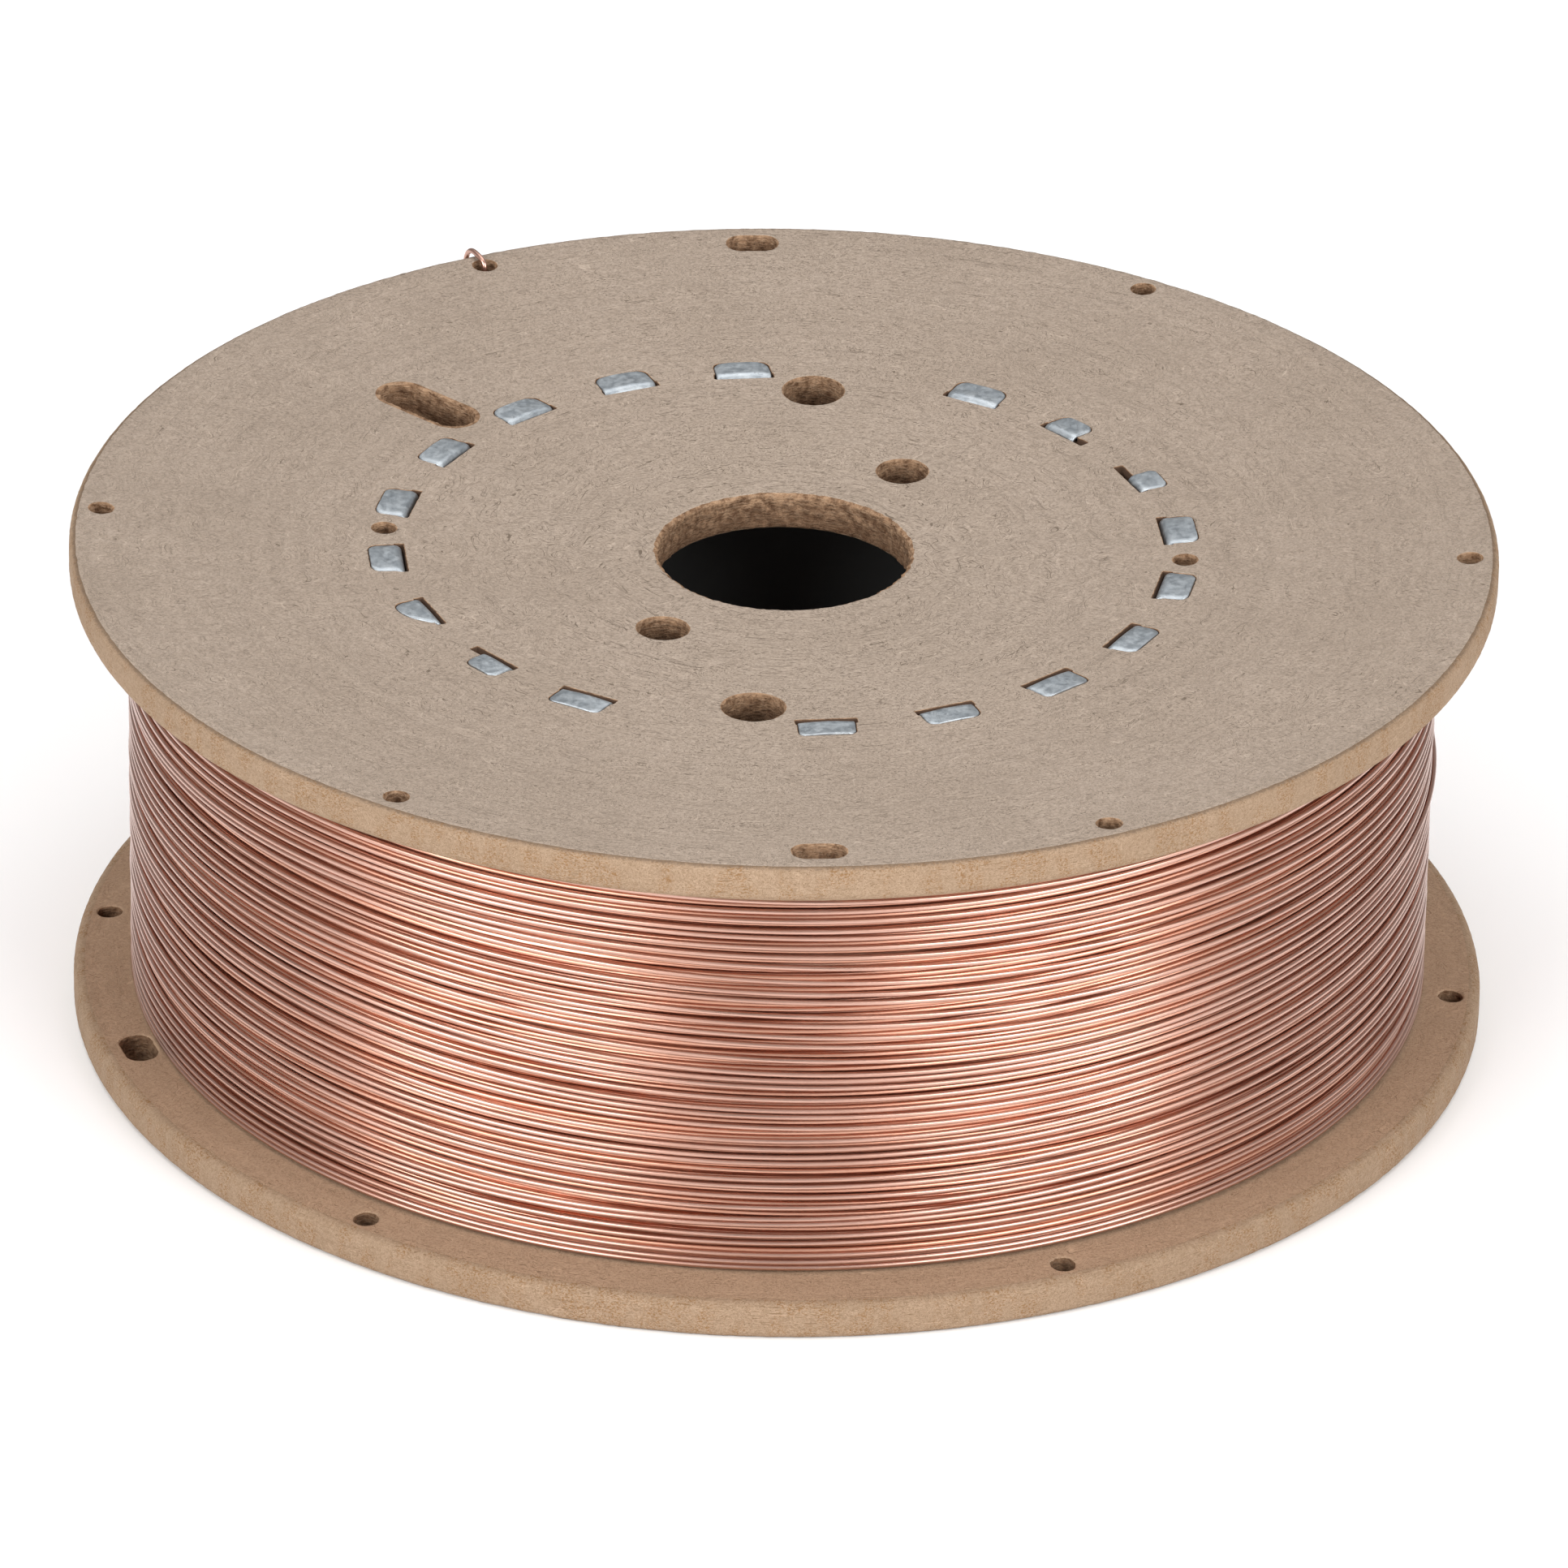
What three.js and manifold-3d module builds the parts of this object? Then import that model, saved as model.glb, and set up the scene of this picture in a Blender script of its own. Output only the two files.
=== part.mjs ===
// Wire spool, 300 mm class: two hardboard flanges held apart by a hollow drum of two
// galvanised sheet half-shells, whose tabs pass through the flanges and are clenched over
// the outer faces, with a full load of round steel wire wound between the flanges.
// The load has pushed both flanges' rims outward and bowed their middles in, so that each is
// dished: it rises from the bore to a narrow flat land at the rim, on which the spool stands.
// Millimetres, +Z up. Origin: on the spool's axis, level with the bottom flange's rim.
// Angles are degrees, counter-clockwise from +X seen from above.
import * as THREE from 'three';
import { mergeVertices } from 'three/addons/utils/BufferGeometryUtils.js';
import Module from 'manifold-3d';

const wasm = await Module();
wasm.setup();

// ---------------------------------------------------------------- driving dimensions
const OVERALL_WIDTH = 108.6;
const FLANGE_RADIUS = 150;
const FLANGE_THICKNESS = 8;
const DISH = 2.5;
const DISH_FROM = 90;
const BOW_SLOPE = 0.03;
const BOW_FROM = 20;
const RIM_LAND_FROM = 146;
const INNER_EDGE_ROUND = 2.5;
const CENTRE_HOLE_RADIUS = 26.6;

const SHEET = 0.9;
const DRUM_OUTER_RADIUS = 81;
const SEAM_ANGLE = 33.6;
const SEAM_GAP_DEG = 0.7;
const TAB_PITCH_DEG = 18;
const TABS_LEFT_OUT = 2;
const TAB_WIDTH = 12.2;
const TAB_REACH = 6.2;
const TAB_CORNER = 2;
const TAB_BELOW_FACE = 0.1;
const FIRST_TAB = { from: 7, to: 13.4 };
const LAST_TAB = { from: 166.9, to: 171.5 };

const GAP = 0.3;
const WINDING_RADIUS = 137.8;
const WIRE_DIAMETER = 1.2;
const HOOK_RISE = 1.2;
const HOOK_DROP = 5;
const HOOK_REACH = 1.5;

const DRIVE_HOLE = { radius: 5.4, orbit: 45, angles: [56.5, 236.5] };
const TIE_HOLE = { radius: 6.5, orbit: 74.2, angles: [85.6, 265.6] };
const SMALL_HOLE_RADIUS = 2.5;
const DRUM_HOLE_ORBIT = 84.2;
const RIM_HOLE = { orbit: 143.8, count: 6 };
const RIM_SLOT = { length: 11, width: 6.6, orbit: 141.6 };
const START_SLOT = { width: 9.6, inner: 86.9, outer: 110.8, throughTo: 92.5 };

const TOP_FLANGE = {
  firstRimHole: -2.5,
  rimSlotAngles: [93.3, 273.3],
  drumHoleAngles: [177.1, 357.1],
  startSlotAngle: 141,
};
const BOTTOM_FLANGE = {
  firstRimHole: -5.5,
  rimSlotAngles: [19.1, 199.1],
  drumHoleAngles: [177.1, 357.1],
  startSlotAngle: 159.6,
};
const END_RIM_HOLE = 2;

const RIM_SEGMENTS = 120;
const BORE_SEGMENTS = 60;
const HOLE_SEGMENTS = 20;
const SMALL_HOLE_SEGMENTS = 12;
const SHELL_SEGMENTS = 40;
const BEYOND = 4;

// ---------------------------------------------------------------- derived dimensions
const TOP_FACE = OVERALL_WIDTH - DISH;
const TOP_INNER = TOP_FACE - FLANGE_THICKNESS;
const BOTTOM_INNER = DISH + FLANGE_THICKNESS;
const DISH_STATIONS = [0, 0.25, 0.5, 0.75, 1];
const DRUM_INNER_RADIUS = DRUM_OUTER_RADIUS - SHEET;
const SLOT_INNER = DRUM_INNER_RADIUS - 0.6;
const SLOT_OUTER = DRUM_OUTER_RADIUS + 0.8;
const POCKET_DEPTH = TAB_BELOW_FACE + SHEET + GAP;
const POCKET_OUTER = DRUM_OUTER_RADIUS + TAB_REACH + 0.7;
const POCKET_WIDTH = TAB_WIDTH + 0.9;

const radians = (deg) => (deg * Math.PI) / 180;
const polar = (radius, deg) => [radius * Math.cos(radians(deg)), radius * Math.sin(radians(deg))];

// ---------------------------------------------------------------- solids and booleans
function toSolid(geometry) {
  const bare = geometry.index ? geometry.toNonIndexed() : geometry.clone();
  bare.deleteAttribute('normal');
  bare.deleteAttribute('uv');
  const merged = mergeVertices(bare, 1e-4);
  return new wasm.Manifold(new wasm.Mesh({
    numProp: 3,
    vertProperties: new Float32Array(merged.attributes.position.array),
    triVerts: new Uint32Array(merged.index.array),
  }));
}

function toGeometry(solid) {
  const mesh = solid.getMesh();
  const geometry = new THREE.BufferGeometry();
  geometry.setAttribute('position', new THREE.BufferAttribute(new Float32Array(mesh.vertProperties), 3));
  geometry.setIndex(new THREE.BufferAttribute(new Uint32Array(mesh.triVerts), 1));
  geometry.computeVertexNormals();
  return geometry;
}

// An upright prism of a plan outline between two heights.
function prism(shape, low, high, curveSegments = HOLE_SEGMENTS) {
  const geometry = new THREE.ExtrudeGeometry(shape, {
    depth: high - low,
    bevelEnabled: false,
    curveSegments,
  });
  geometry.translate(0, 0, low);
  return geometry;
}

function roundCutter(radius, orbit, deg, low, high, segments) {
  const geometry = new THREE.CylinderGeometry(radius, radius, high - low, segments);
  geometry.rotateX(Math.PI / 2);
  const [x, y] = polar(orbit, deg);
  geometry.translate(x, y, (low + high) / 2);
  return toSolid(geometry);
}

// A plan outline with its length along +X and semicircular ends.
function stadium(from, to, width) {
  const r = width / 2;
  const shape = new THREE.Shape();
  shape.moveTo(from + r, -r);
  shape.lineTo(to - r, -r);
  shape.absarc(to - r, 0, r, -Math.PI / 2, Math.PI / 2, false);
  shape.lineTo(from + r, r);
  shape.absarc(from + r, 0, r, Math.PI / 2, Math.PI * 1.5, false);
  return shape;
}

// A polygon in the radius-height plane, given as [radius, height] points, made `width` wide
// and turned to an angle about the spool's axis.
function radialWedge(points, width, deg) {
  const shape = new THREE.Shape(points.map(([r, z]) => new THREE.Vector2(r, z)));
  const geometry = new THREE.ExtrudeGeometry(shape, { depth: width, bevelEnabled: false });
  geometry.translate(0, 0, -width / 2);
  geometry.rotateX(Math.PI / 2);
  geometry.rotateZ(radians(deg));
  return geometry;
}

// ---------------------------------------------------------------- flanges
// Nine tabs on each half-shell: ten places 18 degrees apart, the third left empty. The end
// tabs beside the seams are trimmed narrower.
function tabSpans() {
  const spans = [];
  const halfWidth = (TAB_WIDTH / 2 / DRUM_OUTER_RADIUS) * (180 / Math.PI);
  for (let place = 0; place < 10; place += 1) {
    if (place === TABS_LEFT_OUT) continue;
    const middle = TAB_PITCH_DEG * (place + 0.5);
    if (place === 0) {
      spans.push(FIRST_TAB);
    } else if (place === 9) {
      spans.push(LAST_TAB);
    } else {
      spans.push({ from: middle - halfWidth, to: middle + halfWidth });
    }
  }
  return spans;
}

function tabSlotAngles() {
  const angles = [];
  for (const half of [0, 180]) {
    for (let place = 0; place < 10; place += 1) {
      if (place !== TABS_LEFT_OUT) {
        angles.push(SEAM_ANGLE + half + TAB_PITCH_DEG * (place + 0.5));
      }
    }
  }
  return angles;
}

// How far a flange's face stands inward of its height at the dish's start, nearer the axis.
const bow = (radius) => BOW_SLOPE * (DISH_FROM - radius);

// How far it stands outward of that height, at points from the dish's start to the rim.
const dishCurve = DISH_STATIONS.map((part) => [
  DISH_FROM + (RIM_LAND_FROM - DISH_FROM) * part,
  DISH * part ** 1.2,
]);

// The flange is made as the top one, outer face up, with its inner edge rounded over.
function flangeDisc() {
  const r = INNER_EDGE_ROUND;
  const sunk = bow(BOW_FROM);
  const profile = [
    new THREE.Vector2(0, TOP_INNER - sunk),
    new THREE.Vector2(BOW_FROM, TOP_INNER - sunk),
  ];
  for (const [radius, rise] of dishCurve) {
    profile.push(new THREE.Vector2(radius, TOP_INNER + rise));
  }
  for (let step = 0; step <= 3; step += 1) {
    const turn = (Math.PI / 2) * (step / 3);
    const radius = FLANGE_RADIUS - r + r * Math.sin(turn);
    profile.push(new THREE.Vector2(radius, TOP_INNER + DISH + r - r * Math.cos(turn)));
  }
  profile.push(new THREE.Vector2(FLANGE_RADIUS, OVERALL_WIDTH));
  for (const [radius, rise] of [...dishCurve].reverse()) {
    profile.push(new THREE.Vector2(radius, TOP_FACE + rise));
  }
  profile.push(new THREE.Vector2(BOW_FROM, TOP_FACE - sunk), new THREE.Vector2(0, TOP_FACE - sunk));
  const geometry = new THREE.LatheGeometry(profile, RIM_SEGMENTS);
  geometry.rotateX(Math.PI / 2);
  return geometry;
}

function startSlotCutter(deg) {
  const { width, inner, outer, throughTo } = START_SLOT;
  const low = TOP_INNER - BEYOND;
  const high = OVERALL_WIDTH + BEYOND;
  const plan = prism(stadium(inner, outer, width), low, high, 8);
  plan.rotateZ(radians(deg));
  const rise = FLANGE_THICKNESS / (outer - throughTo);
  const ramp = radialWedge([
    [inner - BEYOND, low],
    [throughTo - BEYOND / rise, low],
    [outer + (high - TOP_FACE) / rise, high],
    [inner - BEYOND, high],
  ], width + BEYOND, deg);
  return toSolid(plan).intersect(toSolid(ramp));
}

function rimHoleAngles(pattern) {
  const angles = [];
  for (let hole = 0; hole < RIM_HOLE.count; hole += 1) {
    angles.push(pattern.firstRimHole + (360 / RIM_HOLE.count) * hole);
  }
  return angles;
}

function flange(pattern) {
  const low = TOP_INNER - BEYOND;
  const high = OVERALL_WIDTH + BEYOND;
  let solid = toSolid(flangeDisc());
  solid = solid.subtract(roundCutter(CENTRE_HOLE_RADIUS, 0, 0, low, high, BORE_SEGMENTS));
  for (const hole of [DRIVE_HOLE, TIE_HOLE]) {
    for (const deg of hole.angles) {
      solid = solid.subtract(roundCutter(hole.radius, hole.orbit, deg, low, high, HOLE_SEGMENTS));
    }
  }
  const smallHoles = [
    { orbit: RIM_HOLE.orbit, angles: rimHoleAngles(pattern) },
    { orbit: DRUM_HOLE_ORBIT, angles: pattern.drumHoleAngles },
  ];
  for (const { orbit, angles } of smallHoles) {
    for (const deg of angles) {
      const cutter = roundCutter(SMALL_HOLE_RADIUS, orbit, deg, low, high, SMALL_HOLE_SEGMENTS);
      solid = solid.subtract(cutter);
    }
  }
  for (const deg of pattern.rimSlotAngles) {
    const half = RIM_SLOT.length / 2;
    const slot = prism(stadium(-half, half, RIM_SLOT.width), low, high, 6);
    slot.rotateZ(Math.PI / 2);
    slot.translate(RIM_SLOT.orbit, 0, 0);
    slot.rotateZ(radians(deg));
    solid = solid.subtract(toSolid(slot));
  }
  for (const deg of tabSlotAngles()) {
    const floor = TOP_FACE - POCKET_DEPTH;
    const cutter = radialWedge([
      [SLOT_INNER, low],
      [SLOT_OUTER, low],
      [SLOT_OUTER, floor],
      [POCKET_OUTER, floor],
      [POCKET_OUTER, high],
      [SLOT_INNER, high],
    ], POCKET_WIDTH, deg);
    solid = solid.subtract(toSolid(cutter));
  }
  return solid.subtract(startSlotCutter(pattern.startSlotAngle));
}

// Turns a flange over, so that it becomes the bottom one, without moving its angles.
function turnedOver(geometry) {
  geometry.scale(1, 1, -1);
  geometry.translate(0, 0, OVERALL_WIDTH);
  const index = geometry.index.array;
  for (let i = 0; i < index.length; i += 3) {
    [index[i], index[i + 1]] = [index[i + 1], index[i]];
  }
  geometry.computeVertexNormals();
  return geometry;
}

// ---------------------------------------------------------------- drum
function tabPlate(width) {
  const half = width / 2;
  const far = DRUM_OUTER_RADIUS + TAB_REACH;
  const shape = new THREE.Shape();
  shape.moveTo(DRUM_INNER_RADIUS, -half);
  shape.lineTo(far - TAB_CORNER, -half);
  shape.absarc(far - TAB_CORNER, -half + TAB_CORNER, TAB_CORNER, -Math.PI / 2, 0, false);
  shape.absarc(far - TAB_CORNER, half - TAB_CORNER, TAB_CORNER, 0, Math.PI / 2, false);
  shape.lineTo(DRUM_INNER_RADIUS, half);
  shape.closePath();
  return shape;
}

// One clenched tab at the top end: a neck standing up from the shell and a plate bent out.
function topTab(span) {
  const middle = (span.from + span.to) / 2;
  const width = radians(span.to - span.from) * DRUM_OUTER_RADIUS;
  const plateTop = TOP_FACE - TAB_BELOW_FACE;
  const plate = prism(tabPlate(width), plateTop - SHEET, plateTop, 3);
  const neckFoot = TOP_INNER - BEYOND - GAP;
  const neck = new THREE.BoxGeometry(SHEET, width, plateTop - neckFoot);
  neck.translate(DRUM_OUTER_RADIUS - SHEET / 2, 0, (plateTop + neckFoot) / 2);
  const tab = toSolid(plate).add(toSolid(neck));
  return tab.rotate([0, 0, middle]);
}

function halfShell() {
  const start = radians(SEAM_GAP_DEG / 2);
  const end = radians(180 - SEAM_GAP_DEG / 2);
  const shape = new THREE.Shape();
  shape.absarc(0, 0, DRUM_OUTER_RADIUS, start, end, false);
  shape.absarc(0, 0, DRUM_INNER_RADIUS, end, start, true);
  shape.closePath();
  const low = BOTTOM_INNER + bow(DRUM_INNER_RADIUS) + GAP;
  let solid = toSolid(prism(shape, low, OVERALL_WIDTH - low, SHELL_SEGMENTS));
  for (const span of tabSpans()) {
    const top = topTab(span);
    const bottom = top.mirror([0, 0, 1]).translate([0, 0, OVERALL_WIDTH]);
    solid = solid.add(top).add(bottom);
  }
  return solid;
}

// ---------------------------------------------------------------- wire
// The wound load as one ring that fills the room between the dished flanges, its outer
// corners eased where the last turns lie.
function windingRing() {
  const inner = DRUM_OUTER_RADIUS + GAP;
  const ease = WIRE_DIAMETER;
  const shoulder = WINDING_RADIUS - ease;
  const ends = [[inner, -bow(inner)], ...dishCurve.filter(([radius]) => radius < shoulder)];
  const [lastRadius, lastRise] = ends[ends.length - 1];
  const steepness = (DISH - lastRise) / (RIM_LAND_FROM - lastRadius);
  ends.push([shoulder, lastRise + steepness * (shoulder - lastRadius)]);
  const shoulderRise = ends[ends.length - 1][1];
  const low = BOTTOM_INNER + GAP;
  const high = TOP_INNER - GAP;
  const profile = [
    ...ends.map(([radius, rise]) => [radius, low - rise]),
    [WINDING_RADIUS, low - shoulderRise + ease],
    [WINDING_RADIUS, high + shoulderRise - ease],
    ...[...ends].reverse().map(([radius, rise]) => [radius, high + rise]),
    [inner, low + bow(inner)],
  ].map(([r, z]) => new THREE.Vector2(r, z));
  const geometry = new THREE.LatheGeometry(profile, RIM_SEGMENTS);
  geometry.rotateX(Math.PI / 2);
  return geometry;
}

// The wire's free end: it leaves the top turn, climbs outward to a rim hole, comes up
// through it and is bent out over the rim and down.
function wireEnd() {
  const deg = rimHoleAngles(TOP_FLANGE)[END_RIM_HOLE];
  const orbit = RIM_HOLE.orbit;
  const r = WIRE_DIAMETER / 2;
  const rimFace = OVERALL_WIDTH;
  const rimInner = rimFace - FLANGE_THICKNESS;
  const crest = rimFace + HOOK_RISE;
  const hookRadius = FLANGE_RADIUS + HOOK_REACH;
  const along = (radius, turn, z) => new THREE.Vector3(...polar(radius, deg + turn), z);
  const path = new THREE.CatmullRomCurve3([
    along(WINDING_RADIUS + r + GAP, -12, rimInner - 4.4),
    along(WINDING_RADIUS + r + 1, -8, rimInner - 3.9),
    along(orbit - 2.2, -3.4, rimInner - 2.9),
    along(orbit - 0.5, -0.8, rimInner - 0.8),
    along(orbit, 0, rimInner + 2.4),
    along(orbit + 0.1, 0, rimFace - 1.5),
    along(orbit + 0.7, 0, crest - 0.8),
    along(orbit + 2.6, 0.1, crest),
    along(FLANGE_RADIUS - 0.6, 0.2, crest),
    along(hookRadius - 0.3, 0.3, rimFace - 0.6),
    along(hookRadius, 0.4, rimFace - HOOK_DROP),
  ], false, 'centripetal');
  const section = new THREE.Shape();
  section.absarc(0, 0, r, 0, Math.PI * 2, false);
  return new THREE.ExtrudeGeometry(section, {
    steps: 48,
    curveSegments: 4,
    bevelEnabled: false,
    extrudePath: path,
  });
}

// ---------------------------------------------------------------- assembly
const hardboard = { color: 0xb5a292, roughness: 0.85, metalness: 0 };
const galvanised = { color: 0x9ea2a5, roughness: 0.4, metalness: 0.9 };
const coppered = { color: 0xc08068, roughness: 0.3, metalness: 0.95 };

const spool = new THREE.Group();

function addPart(name, geometry, look, turn = 0) {
  const mesh = new THREE.Mesh(geometry, new THREE.MeshStandardMaterial(look));
  mesh.name = name;
  mesh.rotation.z = radians(turn);
  spool.add(mesh);
}

addPart('top_flange', toGeometry(flange(TOP_FLANGE)), hardboard);
addPart('bottom_flange', turnedOver(toGeometry(flange(BOTTOM_FLANGE))), hardboard);
addPart('drum_half_a', toGeometry(halfShell()), galvanised, SEAM_ANGLE);
addPart('drum_half_b', toGeometry(halfShell()), galvanised, SEAM_ANGLE + 180);
addPart('wire_winding', windingRing(), coppered);
addPart('wire_end', wireEnd(), coppered);

export default spool;
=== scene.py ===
"""The looks of a full wire spool: hardboard flanges, a clenched sheet-metal drum and wound wire.

Lengths are millimetres until a mesh is made, and angles are degrees, counter-clockwise from +X.
"""
import math
import random

import bpy
import numpy as np
from mathutils import Matrix, Vector, noise
from mathutils.geometry import delaunay_2d_cdt


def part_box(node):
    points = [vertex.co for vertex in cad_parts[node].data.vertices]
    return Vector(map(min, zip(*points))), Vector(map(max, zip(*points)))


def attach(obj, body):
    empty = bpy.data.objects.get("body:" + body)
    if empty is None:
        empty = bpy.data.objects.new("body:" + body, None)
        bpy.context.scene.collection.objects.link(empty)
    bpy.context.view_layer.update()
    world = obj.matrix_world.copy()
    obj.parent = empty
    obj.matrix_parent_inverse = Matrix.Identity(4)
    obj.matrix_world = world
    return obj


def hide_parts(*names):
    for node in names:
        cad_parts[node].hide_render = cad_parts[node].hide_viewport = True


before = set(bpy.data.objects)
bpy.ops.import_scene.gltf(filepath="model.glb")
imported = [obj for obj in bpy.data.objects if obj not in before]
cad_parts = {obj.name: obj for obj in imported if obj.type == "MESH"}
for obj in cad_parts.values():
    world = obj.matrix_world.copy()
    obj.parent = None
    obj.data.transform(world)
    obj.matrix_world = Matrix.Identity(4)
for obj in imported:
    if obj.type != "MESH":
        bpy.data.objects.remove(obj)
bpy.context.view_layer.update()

MM = 0.001


def node_box(node):
    """A CAD node's lowest and highest corner in millimetres."""
    low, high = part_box(node)
    return [c / MM for c in low], [c / MM for c in high]


# ------------------------------------------------------------------ sizes from the frame
TOP_CORNER = node_box("top_flange")[1]
DISH = 2.5
DISH_FROM = 90.0
DISH_CURVE = 1.2
RIM_LAND_FROM = 146.0
BOW_SLOPE = 0.03
BOW_FROM = 20.0
THICKNESS = 8.0
RIM_FACE = TOP_CORNER[2]
TOP_HUB = RIM_FACE - DISH
TOP_INNER = TOP_HUB - THICKNESS
BOTTOM_HUB = node_box("bottom_flange")[0][2] + DISH
BOTTOM_INNER = BOTTOM_HUB + THICKNESS
RIM_RADIUS = TOP_CORNER[0]
WINDING_RADIUS = node_box("wire_winding")[1][0]


def dish(radius):
    """How far a flange stands outward, at a radius, of its height where the dish starts.
    Inside that radius it is bowed inward, so the answer is negative."""
    if radius < DISH_FROM:
        return -BOW_SLOPE * (DISH_FROM - max(radius, BOW_FROM))
    part = (radius - DISH_FROM) / (RIM_LAND_FROM - DISH_FROM)
    return DISH * min(part, 1.0) ** DISH_CURVE


# ------------------------------------------------------------------ driving dimensions
BORE_RADIUS = 26.6
DRIVE_HOLE = {"radius": 5.4, "orbit": 45.0, "angles": (56.5, 236.5)}
TIE_HOLE = {"radius": 6.5, "orbit": 74.2, "angles": (85.6, 265.6)}
SMALL_HOLE_RADIUS = 2.5
RIM_HOLE_ORBIT = 143.8
RIM_HOLES = 6
END_RIM_HOLE = 2
DRUM_HOLE_ORBIT = 84.2
RIM_SLOT = {"length": 11.0, "width": 6.6, "orbit": 141.6}
START_SLOT = {"inner": 86.9, "outer": 110.8, "width": 9.6, "through_to": 92.5, "shallow": 5.0}

TOP_PATTERN = {
    "first_rim_hole": -2.5,
    "rim_slots": (93.3, 273.3),
    "drum_holes": (177.1, 357.1),
    "start_slot": 141.0,
}
BOTTOM_PATTERN = {
    "first_rim_hole": -5.5,
    "rim_slots": (19.1, 199.1),
    "drum_holes": (177.1, 357.1),
    "start_slot": 159.6,
}


def rim_holes(pattern):
    """The angles of a flange's small holes near its rim."""
    return [pattern["first_rim_hole"] + 360 / RIM_HOLES * k for k in range(RIM_HOLES)]


DRUM_RADIUS = 81.0
DRUM_GAP = 0.3
SHEET = 0.9
SEAM_ANGLE = 33.6
SEAM_GAP = 0.7
TAB_PITCH = 18.0
TAB_PLACES = 10
EMPTY_PLACE = 2
TAB_HALF_WIDTH = 6.0
TAB_REACH = 5.95
TAB_CORNER = 1.9
BEND_RADIUS = 1.35
# the slot that a tab comes through, outward from the drum's outer surface and along it
SLOT_NEAR = -1.35
SLOT_FAR = 0.6
SLOT_HALF = 6.35
TAB_PROUD = 0.35

WIRE = 1.2
WIRE_GAP = 0.05
OUTER_TURNS = 41
UNDER_TURNS = 58
LAYER_STEP = 0.95
END_ANGLE = 96.0
# the turns that stand out of the layer: where, for how long (both in turns) and how far
PROUD_TURNS = ((22.75, 0.11, 0.9), (31.2, 0.08, 0.5), (9.6, 0.07, 0.5), (16.45, 0.06, 0.45))

rng = random.Random(300)


# ------------------------------------------------------------------ mesh making
class Shell:
    """Collects points, faces and their materials, and makes one Blender mesh of them."""

    def __init__(self):
        self.points = []
        self.faces = []
        self.looks = []

    def add_ring(self, points):
        """Adds points and returns their indices."""
        start = len(self.points)
        self.points.extend(points)
        return list(range(start, len(self.points)))

    def bridge(self, ring_a, ring_b, look=0, closed=True):
        """Joins two rings, or open lines, of as many points each."""
        count = len(ring_a)
        last = count if closed else count - 1
        for i in range(last):
            j = (i + 1) % count
            self.faces.append((ring_a[i], ring_a[j], ring_b[j], ring_b[i]))
            self.looks.append(look)

    def add_faces(self, faces, look=0):
        self.faces.extend(faces)
        self.looks.extend([look] * len(faces))

    def make(self, name, looks):
        mesh = bpy.data.meshes.new(name)
        mesh.from_pydata([(x * MM, y * MM, z * MM) for x, y, z in self.points], [], self.faces)
        for look in looks:
            mesh.materials.append(look)
        mesh.polygons.foreach_set("material_index", self.looks)
        mesh.polygons.foreach_set("use_smooth", [True] * len(self.faces))
        mesh.validate()
        mesh.update()
        piece = bpy.data.objects.new(name, mesh)
        bpy.context.scene.collection.objects.link(piece)
        return piece


def inside(polygon, at):
    """Which of the plan points `at` lie inside a closed plan polygon."""
    x, y = at[:, 0], at[:, 1]
    result = np.zeros(len(at), bool)
    x0, y0 = polygon[:, 0], polygon[:, 1]
    x1, y1 = np.roll(x0, -1), np.roll(y0, -1)
    for a, b, c, d in zip(x0, y0, x1, y1):
        if b == d:
            continue
        crosses = (b > y) != (d > y)
        result ^= crosses & (x < (c - a) * (y - b) / (d - b) + a)
    return result


def fill(shell, outline, holes, look, face_up, extra=()):
    """Fills the flat region inside an outline ring and outside its hole rings. The extra plan
    points, which lie inside it, become corners too."""
    rings = [outline] + holes
    index = [i for ring in rings for i in ring]
    plan = [shell.points[i][:2] for i in index]
    height = shell.points[outline[0]][2]
    edges = []
    start = 0
    for ring in rings:
        count = len(ring)
        edges.extend((start + i, start + (i + 1) % count) for i in range(count))
        start += count
    if len(extra):
        index.extend(shell.add_ring([(x, y, height) for x, y in extra]))
        plan.extend(tuple(p) for p in extra)
    out = delaunay_2d_cdt([Vector(p) for p in plan], edges, [], 0, 1e-6)
    out_points, out_faces, origins = out[0], out[2], out[3]
    corners = np.array([tuple(p) for p in out_points])
    triangles = np.array(out_faces)
    centres = corners[triangles].mean(axis=1)
    outline_plan = np.array([shell.points[i][:2] for i in outline])
    keep = inside(outline_plan, centres)
    for ring in holes:
        hole_plan = np.array([shell.points[i][:2] for i in ring])
        reach = np.abs(hole_plan - hole_plan.mean(axis=0)).max() + 1
        near = np.abs(centres - hole_plan.mean(axis=0)).max(axis=1) < reach
        spot = np.where(near & keep)[0]
        keep[spot[inside(hole_plan, centres[spot])]] = False
    faces = []
    for triangle in triangles[keep]:
        a, b, c = (index[origins[i][0]] for i in triangle)
        pa, pb, pc = (shell.points[i] for i in (a, b, c))
        area = (pb[0] - pa[0]) * (pc[1] - pa[1]) - (pb[1] - pa[1]) * (pc[0] - pa[0])
        faces.append((a, b, c) if (area > 0) == face_up else (a, c, b))
    shell.add_faces(faces, look)


# ------------------------------------------------------------------ plan outlines
def turn(points, deg):
    """Plan points turned about the axis."""
    c, s = math.cos(math.radians(deg)), math.sin(math.radians(deg))
    return points @ np.array([[c, s], [-s, c]])


def circle(radius, count):
    a = np.arange(count) * 2 * math.pi / count
    return np.column_stack([np.cos(a), np.sin(a)]) * radius


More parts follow.
